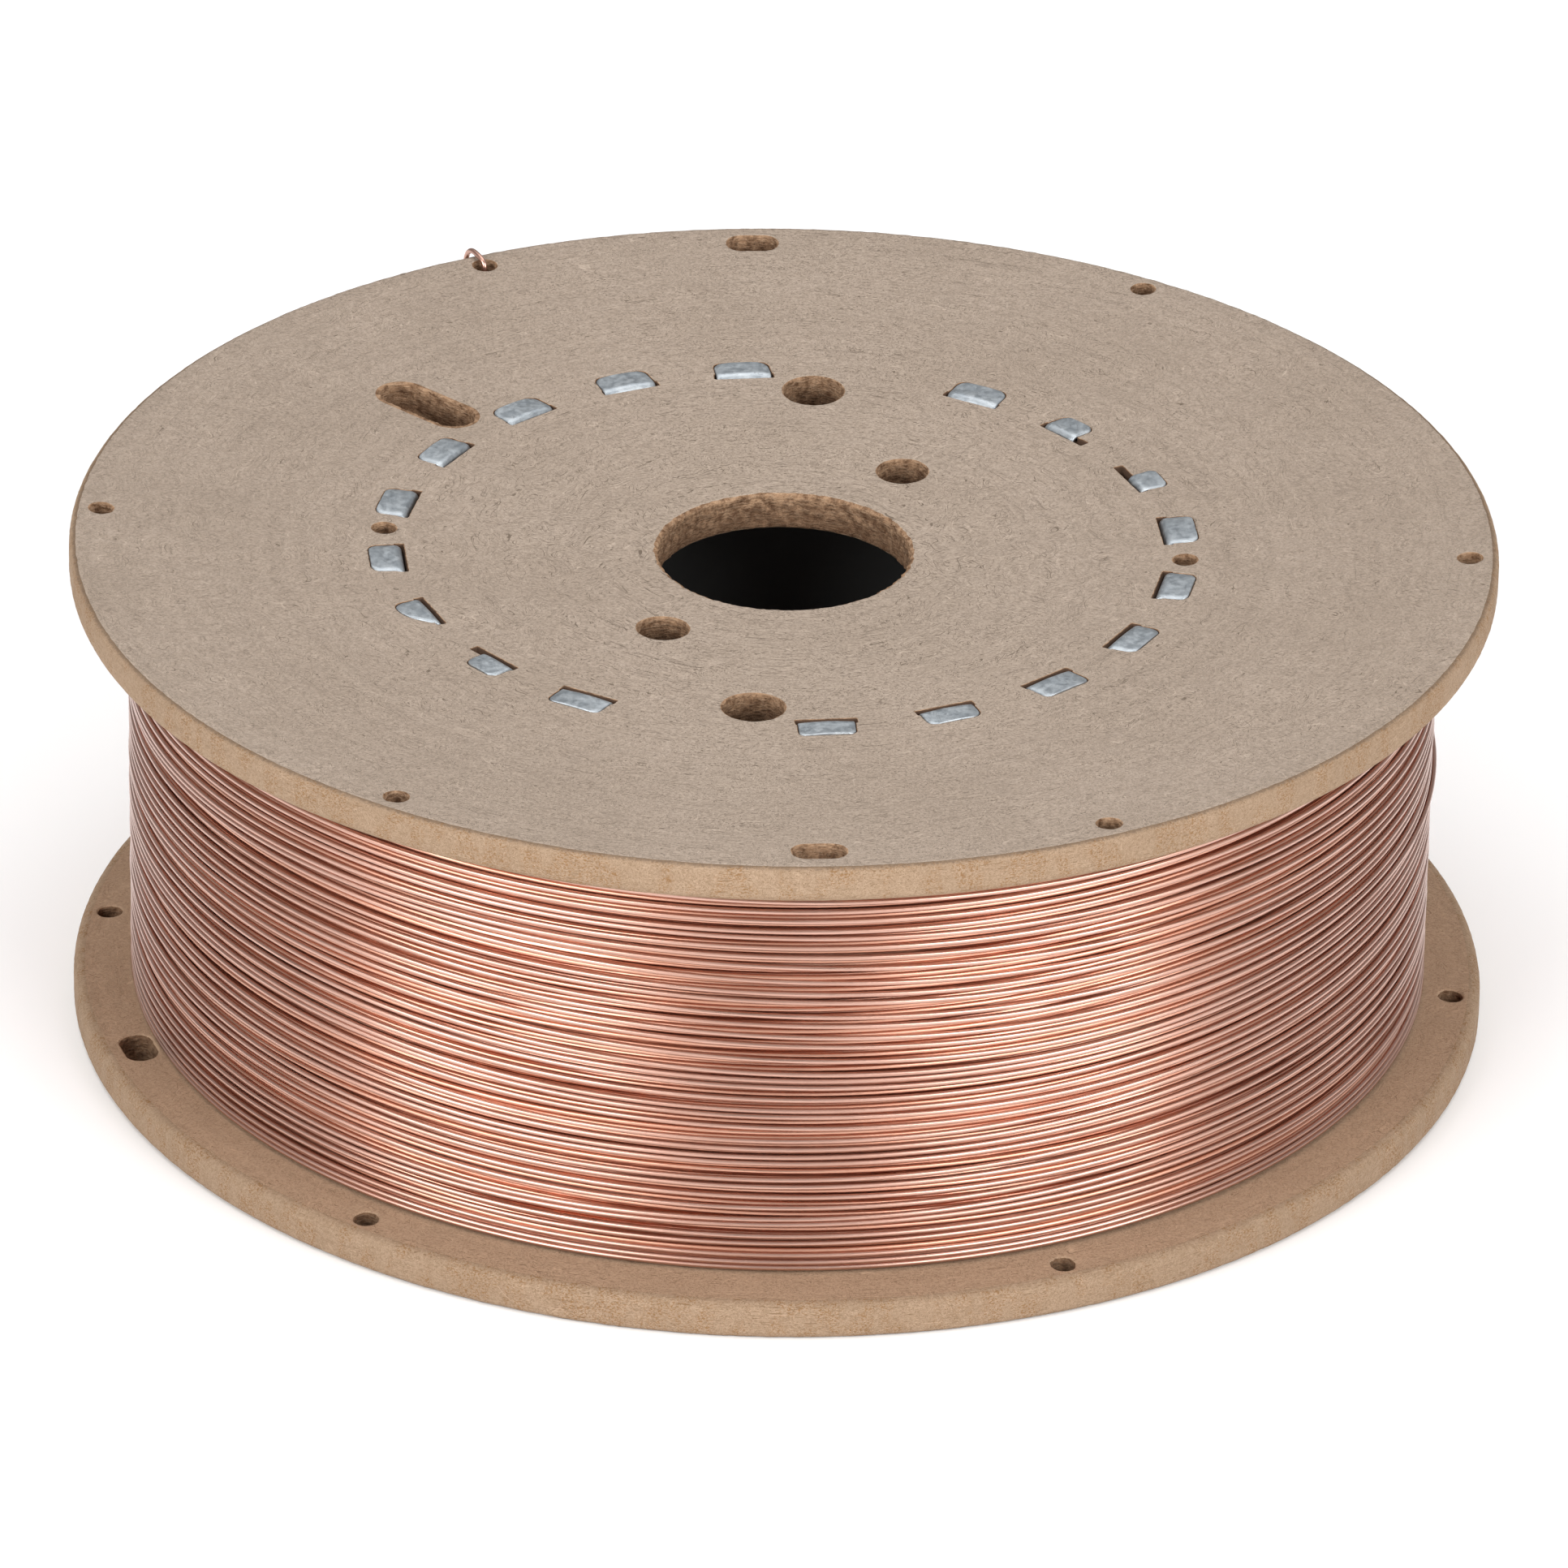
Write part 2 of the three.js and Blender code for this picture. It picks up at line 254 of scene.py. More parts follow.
def resample(corners, step):
    """Points about `step` apart along a closed outline."""
    loop = np.vstack([corners, corners[:1]])
    legs = np.hypot(*np.diff(loop, axis=0).T)
    along = np.concatenate([[0], np.cumsum(legs)])
    count = max(12, int(along[-1] / step))
    at = np.arange(count) * along[-1] / count
    return np.column_stack([np.interp(at, along, loop[:, 0]), np.interp(at, along, loop[:, 1])])


def rounded_box(x0, x1, y0, y1, radius, step=0.5):
    """A rectangle with round corners, anticlockwise."""
    corners = []
    for cx, cy, start in (
        (x1 - radius, y0 + radius, -90),
        (x1 - radius, y1 - radius, 0),
        (x0 + radius, y1 - radius, 90),
        (x0 + radius, y0 + radius, 180),
    ):
        for k in range(7):
            a = math.radians(start + 15 * k)
            corners.append((cx + radius * math.cos(a), cy + radius * math.sin(a)))
    return resample(np.array(corners), step)


def into_void(loop, is_hole):
    """Unit directions from an anticlockwise outline's board into the open."""
    along = np.roll(loop, -1, axis=0) - np.roll(loop, 1, axis=0)
    along /= np.hypot(*along.T)[:, None]
    outward = np.column_stack([along[:, 1], -along[:, 0]])
    return -outward if is_hole else outward


# ------------------------------------------------------------------ flanges
# The board's materials; the last, for tab slots and the floors of their recesses, is a flat dark
# brown of painted shade.
FACE, EDGE, CUT, INNER, SHADED_SLOT = range(5)


def fray(x, y, z, grain):
    """Torn-fibre relief, about -1 to 1, with a coarse and a fine part."""
    coarse = noise.noise(Vector((x, y, z)) / grain)
    fine = noise.noise(Vector((x + 91, y - 37, z)) / (grain * 0.35))
    return 1.3 * coarse + 0.7 * fine


def wall(shell, loop, is_hole, profile, grain=1.3):
    """Sweeps an outline down through the board. Each step of the profile is its depth below
    the outer face, how far it draws back into the board, its raggedness and its material."""
    void = into_void(loop, is_hole)
    rings = []
    for depth, back, ragged, _ in profile:
        points = []
        for (x, y), (nx, ny) in zip(loop, void):
            shift = -back
            if ragged:
                shift += ragged * fray(x, y, depth, grain)
            points.append((x + nx * shift, y + ny * shift, -depth))
        rings.append(shell.add_ring(points))
    for above, below, step in zip(rings, rings[1:], profile[1:]):
        if is_hole:
            shell.bridge(above, below, step[3])
        else:
            shell.bridge(below, above, step[3])
    return rings


def hole_profile(depth, ragged, lip=0.3):
    """The section of a drilled hole: frayed lips at both faces and a rough wall between."""
    worn = 0.5
    steps = [
        (0.0, lip + 0.7, 0.0, FACE),
        (0.0, lip, ragged * lip, FACE),
        (0.4 * lip, 0.3 * lip, 0.7 * ragged, CUT),
        (worn, 0.0, ragged, CUT),
    ]
    rows = 9
    for row in range(1, rows):
        steps.append((worn + (depth - 2 * worn) * row / rows, 0.0, ragged, CUT))
    steps += [
        (depth - worn, 0.0, ragged, CUT),
        (depth - 0.3, 0.16, 0.7 * ragged, CUT),
        (depth, 0.42, 0.3 * ragged, INNER),
        (depth, 0.62, 0.0, INNER),
    ]
    return steps


def rim_profile():
    """The flange's edge: a little worn at the outer face, rolled over at the inner one."""
    steps = [
        (0.0, 2.2, 0.0, FACE),
        (0.0, 1.35, 0.12, FACE),
        (0.18, 0.95, 0.15, EDGE),
        (0.5, 0.48, 0.08, EDGE),
        (1.0, 0.14, 0.06, EDGE),
    ]
    roll = 2.4
    for depth in (1.5, 2.5, 3.5, 4.5):
        steps.append((depth, 0.0, 0.05, EDGE))
    for k in range(7):
        a = math.radians(15 * k)
        steps.append((THICKNESS - roll + roll * math.sin(a), roll * (1 - math.cos(a)), 0.05, EDGE))
    steps.append((THICKNESS, roll + 0.25, 0.0, INNER))
    return steps


def start_slot(shell, deg):
    """The slanted slot for the wire's start. Its floor ramps from the outer face down to the
    inner one, and it opens through the board beside the drum. Returns its two face rings."""
    half = START_SLOT["width"] / 2
    inner, outer, edge = START_SLOT["inner"], START_SLOT["outer"], START_SLOT["through_to"]
    side = []
    for k in range(13):
        a = math.radians(180 - 7.5 * k)
        side.append((inner + half + half * math.cos(a), half * math.sin(a)))
    for k in range(1, 30):
        side.append((inner + half + (outer - inner - 2 * half) * k / 30, half))
    for k in range(13):
        a = math.radians(90 - 7.5 * k)
        side.append((outer - half + half * math.cos(a), half * math.sin(a)))
    side = np.array(side)
    # anticlockwise from the inner tip: the lower side outward, then the upper side back
    loop = np.vstack([side * (1, -1), side[-2:0:-1]])
    count = len(side)
    shallow = START_SLOT["shallow"]
    slope = (THICKNESS - shallow) / (outer - edge)
    depths = np.clip(shallow + (outer - loop[:, 0]) * slope, 0, THICKNESS)
    void = into_void(loop, True)
    rings = []
    # each ring's part of the depth, how far it draws back into the board and its raggedness
    lip = [(0.0, 1.0, 0.0), (0.0, 0.12, 0.28), (0.015, 0.05, 0.28)]
    wall_parts = (0.06, 0.2, 0.35, 0.5, 0.65, 0.8, 0.92, 1.0)
    for part, back, ragged in lip + [(part, 0.0, 0.28) for part in wall_parts]:
        ring = []
        for (x, y), (nx, ny), depth in zip(loop, void, depths):
            shift = -back + ragged * fray(x, y, part * depth, 1.6)
            ring.append((x + nx * shift, y + ny * shift, -part * depth))
        rings.append(ring)
    placed = []
    for ring in rings:
        plan = turn(np.array([(x, y) for x, y, _ in ring]), deg)
        placed.append(shell.add_ring([(p[0], p[1], r[2]) for p, r in zip(plan, ring)]))
    for above, below in zip(placed, placed[1:]):
        shell.bridge(above, below, CUT)
    bottom = placed[-1]
    through = [i for i in range(count) if depths[i] >= THICKNESS - 1e-6]
    last = through[-1]
    across = 9

    def rung(i):
        """Points across the ramp floor between the two sides, at the side's point i."""
        a, b = bottom[i], bottom[(len(loop) - i) % len(loop)]
        pa, pb = np.array(shell.points[a]), np.array(shell.points[b])
        middle = []
        for k in range(1, across):
            p = pa + (pb - pa) * k / across
            lift = 0.3 * fray(p[0], p[1], p[2], 1.8) if depths[i] < THICKNESS else 0.0
            middle.append((p[0], p[1], p[2] + lift))
        return [a] + shell.add_ring(middle) + [b]

    before = mouth = rung(last)
    for i in range(last + 1, count - 1):
        row = rung(i)
        for k in range(across):
            shell.add_faces([(before[k], row[k], row[k + 1], before[k + 1])], CUT)
        before = row
    tip = bottom[count - 1]
    for k in range(across):
        shell.add_faces([(before[k], tip, before[k + 1])], CUT)
    opening = bottom[: last + 1] + mouth[1:-1] + bottom[len(loop) - last:]
    return placed[0], opening


def board_points(limit):
    """A loose grid of plan points that keeps a face's triangles even."""
    step = 6.0
    points = []
    count = int(limit / step) + 1
    for i in range(-count, count + 1):
        for j in range(-count, count + 1):
            x, y = (i + 0.5 * (j % 2)) * step, j * step * 0.866
            if x * x + y * y < limit * limit:
                points.append((x + rng.uniform(-1, 1), y + rng.uniform(-1, 1)))
    return np.array(points)


def tab_recess(tab):
    """The outline pressed into the board round one tab, and the slot that it came through."""
    plate = tab_outline(tab, 0.13)
    slot = rounded_box(SLOT_NEAR, SLOT_FAR, -SLOT_HALF, SLOT_HALF, 0.35)
    split = SLOT_FAR - 0.2
    past_slot = plate[plate[:, 0] > split]
    order = np.argsort(np.arctan2(past_slot[:, 1], past_slot[:, 0] - split))
    past_slot = past_slot[order]
    foot, head = past_slot[0], past_slot[-1]
    margin = 0.08
    low_y, high_y = -SLOT_HALF - margin, SLOT_HALF + margin
    corners = [
        (SLOT_NEAR - margin, low_y),
        (SLOT_FAR + margin, low_y),
        (SLOT_FAR + margin, max(foot[1], low_y)),
        *[tuple(p) for p in past_slot],
        (SLOT_FAR + margin, min(head[1], high_y)),
        (SLOT_FAR + margin, high_y),
        (SLOT_NEAR - margin, high_y),
    ]
    return resample(np.array(corners), 0.5), slot


def flange(name, node, pattern, tabs, outer_height, facing, seed):
    """One hardboard flange. It is made with its outer face at zero, facing up, and is then
    placed at its height, turned over if it faces down."""
    shell = Shell()
    noise.seed_set(seed)
    fray_room = 0.12
    rim = wall(shell, circle(RIM_RADIUS - fray_room, 900), False, rim_profile(), 2.2)
    outer_rings, inner_rings = [], []

    def drill(loop, ragged, grain=1.3, lip=0.3):
        rings = wall(shell, loop, True, hole_profile(THICKNESS, ragged, lip), grain)
        outer_rings.append(rings[0])
        inner_rings.append(rings[-1])

    def at(loop, orbit, deg):
        return turn(loop + (orbit, 0), deg)

    drill(circle(BORE_RADIUS, 300), 0.36, 1.5, 0.75)
    for hole in (DRIVE_HOLE, TIE_HOLE):
        for deg in hole["angles"]:
            drill(at(circle(hole["radius"], 72), hole["orbit"], deg), 0.24)
    for deg in rim_holes(pattern):
        drill(at(circle(SMALL_HOLE_RADIUS, 36), RIM_HOLE_ORBIT, deg), 0.26, 0.9)
    for deg in pattern["drum_holes"]:
        drill(at(circle(SMALL_HOLE_RADIUS, 36), DRUM_HOLE_ORBIT, deg), 0.14, 0.9)
    half_length, half_width = RIM_SLOT["length"] / 2, RIM_SLOT["width"] / 2
    for deg in pattern["rim_slots"]:
        loop = rounded_box(-half_width, half_width, -half_length, half_length, half_width - 0.2)
        drill(at(loop, RIM_SLOT["orbit"], deg), 0.22, 1.1)
    for tab in tabs:
        recess, slot = tab_recess(tab)
        recess, slot = (at(loop, DRUM_RADIUS, tab["angle"]) for loop in (recess, slot))
        depth = 1.25
        # below its top band the recess and its slot take the painted-shade dark brown
        recess_rings = wall(shell, recess, True, [
            (0.0, 0.3, 0.0, FACE),
            (0.0, 0.12, 0.05, FACE),
            (0.1, 0.0, 0.08, CUT),
            (depth * 0.5, 0.0, 0.08, SHADED_SLOT),
            (depth, 0.0, 0.0, SHADED_SLOT),
        ], 1.0)
        slot_rings = wall(shell, slot, True, [
            (depth, 0.0, 0.0, SHADED_SLOT),
            (2.4, 0.0, 0.1, SHADED_SLOT),
            (4.2, 0.0, 0.12, SHADED_SLOT),
            (6.0, 0.0, 0.12, SHADED_SLOT),
            (THICKNESS - 0.1, 0.0, 0.1, SHADED_SLOT),
            (THICKNESS, 0.4, 0.0, INNER),
        ], 1.0)
        fill(shell, recess_rings[-1], [slot_rings[0]], SHADED_SLOT, True)
        outer_rings.append(recess_rings[0])
        inner_rings.append(slot_rings[-1])
    slot_top, slot_bottom = start_slot(shell, pattern["start_slot"])
    outer_rings.append(slot_top)
    inner_rings.append(slot_bottom)
    for rings, outline, look, up in (
        (outer_rings, rim[0], FACE, True),
        (inner_rings, rim[-1], INNER, False),
    ):
        fill(shell, outline, rings, look, up, board_points_clear(shell, rings, RIM_RADIUS - 6))
    shell.points = [
        (x, y, outer_height + facing * (z + dish(math.hypot(x, y)))) for x, y, z in shell.points
    ]
    if facing < 0:
        shell.faces = [tuple(reversed(face)) for face in shell.faces]
    piece = shell.make(name, BOARD_LOOKS)
    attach(piece, "root")
    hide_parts(node)


def board_points_clear(shell, rings, limit):
    """The grid points of a face that keep clear of its holes."""
    points = board_points(limit)
    keep = np.ones(len(points), bool)
    for ring in rings:
        plan = np.array([shell.points[i][:2] for i in ring])
        middle = plan.mean(axis=0)
        reach = np.hypot(*(plan - middle).T).max() + 1.5
        keep &= np.hypot(*(points - middle).T) > reach
    return points[keep]


# ------------------------------------------------------------------ drum and its tabs
def make_tabs(upper):
    """How each of the eighteen tabs came to lie. `low` and `high` are its sides along the
    slot where it is bent, `skew_low` and `skew_high` how far they have moved at its end."""
    tabs = []
    for half in (0, 180):
        for place in range(TAB_PLACES):
            if place == EMPTY_PLACE:
                continue
            tab = {
                "angle": SEAM_ANGLE + half + TAB_PITCH * (place + 0.5),
                "low": -TAB_HALF_WIDTH + rng.uniform(-0.1, 0.2),
                "high": TAB_HALF_WIDTH + rng.uniform(-0.2, 0.1),
                "reach": TAB_REACH + rng.uniform(-0.35, 0.35),
                "tilt": rng.uniform(-1.5, 1.0),
                "twist": rng.uniform(-0.5, 0.5),
                "corner": TAB_CORNER + rng.uniform(-0.5, 0.5),
                "dents": [(rng.uniform(2.6, 4.4), rng.uniform(-2, 2.5), rng.uniform(0.15, 0.3))
                          for _ in range(rng.choice((1, 1, 2, 3)))],
            }
            skew = rng.uniform(-0.5, 0.5)
            tab["skew_low"] = tab["skew_high"] = skew
            if place == 0:
                tab.update(low=-2.8, high=5.9, reach=TAB_REACH - 0.3)
            if place == TAB_PLACES - 1:
                tab.update(low=-5.8, high=0.8, reach=TAB_REACH - 0.2, skew_low=-0.3, skew_high=1.1)
                if half == 180 or not upper:
                    tab.update(twist=0.9)
                else:
                    tab.update(high=5.9, skew_low=0.5, skew_high=-5.9, tilt=2.0)
            tabs.append(tab)
    return tabs


def tab_sides(tab, x):
    """A tab's two sides at a distance x out from the drum's outer surface."""
    far = tab["reach"]
    part = min(max(x / far, 0), 1)
    low = tab["low"] + tab["skew_low"] * part
    high = tab["high"] + tab["skew_high"] * part ** 1.3
    corner = min(tab["corner"], (high - low) / 2 - 0.3)
    over = x - (far - corner)
    if over > 0:
        draw = corner - math.sqrt(max(corner ** 2 - over ** 2, 0))
        low += draw
        high -= draw
    return low, high


def tab_outline(tab, margin):
    """The plan of a bent tab with a margin round it, anticlockwise."""
    lows, highs = [], []
    stations = [0, 1.2, 2.4, 3.4] + [tab["reach"] * (0.7 + 0.3 * k / 12) for k in range(13)]
    for x in stations:
        low, high = tab_sides(tab, x)
        grow = margin if x > 0 else 0
        lows.append((x + grow * (x / tab["reach"]), low - margin))
        highs.append((x + grow * (x / tab["reach"]), high + margin))
    return np.array(lows + highs[::-1])


def add_tab(shell, tab, outer_height, facing):
    """A tab as a lofted strip of sheet: up through its slot, round the bend and outward."""
    h = SHEET / 2
    neck = -h
    top = TAB_PROUD - h
    bend = BEND_RADIUS
    path = []
    for z in (-THICKNESS - 3, -THICKNESS + 1, -THICKNESS / 2, top - bend - 0.6, top - bend):
        path.append((neck, z, 0.0))
    sweep = math.radians(90 + tab["tilt"])
    for k in range(1, 9):
        a = sweep * k / 8
        path.append((neck + bend * (1 - math.cos(a)), top - bend + bend * math.sin(a), a))
    x0, z0, _ = path[-1]
    run = tab["reach"] - x0
    direction = (math.sin(sweep), math.cos(sweep))
    for part in (0.1, 0.25, 0.4, 0.55, 0.68, 0.78, 0.86, 0.92, 0.96, 0.985, 1.0):
        path.append((x0 + direction[0] * run * part, z0 + direction[1] * run * part, sweep))
    columns = 9
    edge_round = 0.28
    # the strip's section: its place across, how far past its side, and its level in the sheet
    around = []
    for side in (1, -1):
        around += [(side * (2 * k / columns - 1), 0, side) for k in range(columns + 1)]
        around += [(side, edge_round * 0.9, side * 0.62), (side, edge_round, 0.0),
                   (side, edge_round * 0.9, side * -0.62)]
    rings = []
    last = len(path) - 1
    for station, (x, z, a) in enumerate(path):
        low, high = tab_sides(tab, max(x, 0))
        if station <= 4:
            low, high = tab["low"], tab["high"]
        middle, half = (low + high) / 2, max((high - low) / 2 - edge_round, 0.2)
        thin = 0.55 if station == last else 1.0
        nx, nz = -math.cos(a), math.sin(a)
        points = []
        for side, beyond, level in around:
            y = middle + side * half + math.copysign(beyond, side)
            lift = h * level * thin
            crown = -0.35 * (y / TAB_HALF_WIDTH) ** 2 if a > 0.3 else 0.0
            ripple = 0.05 * noise.noise(Vector((x * 0.5, y * 0.5, tab["angle"])))
            dent = 0.0
            if level > 0:
                for dx, dy, deep in tab["dents"]:
                    dent -= deep * math.exp(-((x - dx) ** 2 + (y - dy) ** 2) / 0.25)
            twist = tab["twist"] * 0.12 * (y / TAB_HALF_WIDTH) * (x / TAB_REACH)
            px = x + nx * lift
            pz = z + nz * (lift + dent) + (crown + ripple + twist) * math.sin(a)
            points.append((px + DRUM_RADIUS, y, pz))
        plan = turn(np.array([(p[0], p[1]) for p in points]), tab["angle"])
        height = [outer_height + facing * p[2] for p in points]
        rings.append(shell.add_ring([(q[0], q[1], z2) for q, z2 in zip(plan, height)]))
    first_face = len(shell.faces)
    for below, above in zip(rings, rings[1:]):
        shell.bridge(below, above)
    shell.add_faces([tuple(reversed(rings[0]))])
    shell.add_faces([tuple(rings[-1])])
    if facing < 0:
        shell.faces[first_face:] = [tuple(reversed(f)) for f in shell.faces[first_face:]]


def drum_half(name, node, start, upper_tabs, lower_tabs):
    """One half-shell with its tabs clenched over both flanges."""
    shell = Shell()
    steps, rows = 120, 6
    low = BOTTOM_INNER - dish(DRUM_RADIUS) + DRUM_GAP
    high = TOP_INNER + dish(DRUM_RADIUS) - DRUM_GAP
    grids = []
    for radius in (DRUM_RADIUS, DRUM_RADIUS - SHEET):
        grid = []
        for row in range(rows + 1):
            z = low + (high - low) * row / rows
            line = []
            for k in range(steps + 1):
                a = math.radians(start + SEAM_GAP / 2 + (180 - SEAM_GAP) * k / steps)
                line.append((radius * math.cos(a), radius * math.sin(a), z))
            grid.append(shell.add_ring(line))
        grids.append(grid)
    outer, inner = grids
    for below, above in zip(outer, outer[1:]):
        shell.bridge(below, above, closed=False)
    for below, above in zip(inner, inner[1:]):
        # the inner face takes the second material, a near-black painted shade for the dark inside
        # of the drum
        shell.bridge(above, below, 1, closed=False)
    shell.bridge(inner[0], outer[0], closed=False)
    shell.bridge(outer[-1], inner[-1], closed=False)
    ends = [[row[k] for row in grid] for k in (0, steps) for grid in grids]
    shell.bridge(ends[0], ends[1], closed=False)
    shell.bridge(ends[3], ends[2], closed=False)
    tab_dish = dish(DRUM_RADIUS + TAB_REACH / 2)
    for tabs, height, facing in (
        (upper_tabs, TOP_HUB + tab_dish, 1),
        (lower_tabs, BOTTOM_HUB - tab_dish, -1),
    ):
        for tab in tabs:
            if start < tab["angle"] < start + 180:
                add_tab(shell, tab, height, facing)
    piece = shell.make(name, [zinc, zinc_inside_painted_shade])
    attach(piece, "root")
    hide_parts(node)


# ------------------------------------------------------------------ wire
def wander(source, slowest, fastest, count):
    """A smooth random function of the turn number, about -1 to 1."""
    waves = [(source.uniform(slowest, fastest), source.uniform(0, 2 * math.pi),
              source.uniform(0.5, 1.0)) for _ in range(count)]
    size = math.sqrt(sum(a * a for _, _, a in waves) / 2) * 1.8

    def value(u):
        return sum(a * np.sin(2 * math.pi * f * u + p) for f, p, a in waves) / size

    return value


def winding_room(radius):
    """The heights between which the wire lies at a radius, between the dished flanges."""
    return BOTTOM_INNER - dish(radius) + WIRE_GAP, TOP_INNER + dish(radius) - WIRE_GAP


def wind_layer(seed, turns, radius, steps, openness):
    """One continuous layer of wire. Neighbouring turns touch or stand apart by a gap that
    changes slowly along the wire, and the last turn ends against the top flange."""
    source = random.Random(seed)
    low, high = winding_room(radius)
    part = np.arange(steps) / steps
    u = np.arange(turns)[:, None] + part
    gap = np.clip(wander(source, 0.3, 2.0, 12)(u) + openness, 0, None)
    # the first and last turns lie close against the flanges
    gap *= np.clip(u - 1, 0, 1) * np.clip(turns - 2 - u, 0, 1)
    gap *= (high - low - WIRE * (turns + 1)) / gap.sum(axis=0)
    before = np.vstack([np.zeros(steps), np.cumsum(gap, axis=0)[:-1]])
    z = low + WIRE * (0.5 + u) + before
    room = np.minimum(gap, np.vstack([np.zeros(steps), gap[:-1]]))
    r = radius - 0.1 * np.clip(room / 0.5, 0, 1) + 0.12 * wander(source, 0.2, 1.2, 9)(u)
    return u.ravel(), r.ravel(), z.ravel()


def smooth_bump(u, middle, half_width):
    """A smooth hump, 1 high at its middle and 0 past its half width."""
    x = np.clip(np.abs(u - middle) / half_width, 0, 1)
    return (1 + np.cos(math.pi * x)) / 2


def wire_mesh(name, theta, r, z, sides, look, node=None):
    """A length of round wire along a nearly circular path, its ends closed."""
    a = np.arange(sides) * 2 * math.pi / sides
    rr = r[:, None] + WIRE / 2 * np.cos(a)
    zz = z[:, None] + WIRE / 2 * np.sin(a)
    x = rr * np.cos(theta)[:, None]
    y = rr * np.sin(theta)[:, None]
    points = np.stack([x, y, zz], axis=2).reshape(-1, 3) * MM
    count = len(theta)
    row = np.arange(count - 1)[:, None] * sides
    k = np.arange(sides)
    k_next = (k + 1) % sides
    quads = np.stack([row + k, row + sides + k, row + sides + k_next, row + k_next], axis=2)
    faces = [tuple(q) for q in quads.reshape(-1, 4).tolist()]
    faces.append(tuple(range(sides)))
    faces.append(tuple(range((count - 1) * sides, count * sides))[::-1])
    mesh = bpy.data.meshes.new(name)
    mesh.from_pydata(points.tolist(), [], faces)
    mesh.polygons.foreach_set("use_smooth", [True] * (len(faces) - 2) + [False] * 2)
    mesh.materials.append(look)
    mesh.update()
    piece = bpy.data.objects.new(name, mesh)
    bpy.context.scene.collection.objects.link(piece)
    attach(piece, "root")
    if node:
        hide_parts(node)


def winding():
    """The load: an outer layer of separate turns, the layer that shows between them, and a
    ridged core for everything deeper."""
    radius = WINDING_RADIUS - WIRE / 2
    layers = (
        ("winding_outer", 41, OUTER_TURNS, radius, 252, 12, 1.0, 3),
        ("winding_under", 58, UNDER_TURNS, radius - LAYER_STEP, 150, 10, 0.6, 2),
    )
    for name, seed, turns, layer_radius, steps, sides, openness, pieces in layers:
        u, r, z = wind_layer(seed, turns, layer_radius, steps, openness)
        theta = math.radians(END_ANGLE) + 2 * math.pi * (u - turns)
        outer = name == "winding_outer"
        if outer:
            for middle, width, rise in PROUD_TURNS:
                r += rise * smooth_bump(u, middle, width)
        cuts = [round(turns * k / pieces) * steps for k in range(pieces + 1)]
        for k, (first, last) in enumerate(zip(cuts, cuts[1:])):
            span = slice(first, min(last + 1, len(u)))
            wire_mesh(f"{name}_{k + 1}", theta[span], r[span], z[span], sides,
                      copper if outer else copper_deep_painted_bounce, "wire_winding" if outer else None)


def winding_core():
    """Everything below the two shown layers, as one ring with a ridge for each turn."""
    shell = Shell()
    steps = 96
    outer = WINDING_RADIUS - WIRE / 2 - 2 * LAYER_STEP
    inner = DRUM_RADIUS + DRUM_GAP
    low, high = winding_room(outer)
    ridges = int((high - low) / WIRE)
    pitch = (high - low) / ridges
    ends = [inner] + [DISH_FROM + (outer - DISH_FROM) * k / 6 for k in range(6)]
    profile = [(r, winding_room(r)[0]) for r in ends]
    for ridge in range(ridges):
        for k in range(1, 6):
            a = math.radians(-90 + 30 * k)
            z = low + pitch * (ridge + 0.5)
            profile.append((outer + WIRE / 2 * math.cos(a), z + pitch / 2 * math.sin(a)))
    profile += [(r, winding_room(r)[1]) for r in reversed(ends)]
    rings = []
    for r, z in profile:
        ring = []
        for k in range(steps):
            a = 2 * math.pi * k / steps
            ring.append((r * math.cos(a), r * math.sin(a), z))
        rings.append(shell.add_ring(ring))
    for below, above in zip(rings, rings[1:] + rings[:1]):
        shell.bridge(below, above)
    piece = shell.make("winding_core", [copper_deep_painted_bounce])
    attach(piece, "root")


def tube(name, path, sides, look, node):
    """Round wire along a free path of points, its ends closed."""
    shell = Shell()
    points = [Vector(p) for p in path]
    normal = Vector((0, 0, 1))
    rings = []
    for i, p in enumerate(points):
        ahead = points[min(i + 1, len(points) - 1)] - points[max(i - 1, 0)]
        ahead.normalize()
        normal = (normal - ahead * normal.dot(ahead)).normalized()
        across = ahead.cross(normal)
        ring = []
        for k in range(sides):
            a = 2 * math.pi * k / sides
            q = p + (normal * math.cos(a) + across * math.sin(a)) * WIRE / 2
            ring.append(tuple(q))
        rings.append(shell.add_ring(ring))
    for below, above in zip(rings, rings[1:]):
        shell.bridge(below, above)
    shell.add_faces([tuple(reversed(rings[0])), tuple(rings[-1])])
    piece = shell.make(name, [look])
    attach(piece, "root")
    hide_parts(node)


def smooth_path(points, steps):
    """A Catmull-Rom curve through a few points."""
    p = [Vector(q) for q in points]
    p = [p[0] * 2 - p[1]] + p + [p[-1] * 2 - p[-2]]
    out = []
    for i in range(1, len(p) - 2):
        for k in range(steps):
            t = k / steps
            a, b, c, d = p[i - 1], p[i], p[i + 1], p[i + 2]
            out.append(0.5 * (2 * b + (c - a) * t + (2 * a - 5 * b + 4 * c - d) * t ** 2
                              + (3 * b - a - 3 * c + d) * t ** 3))
    out.append(p[-2])
    return out


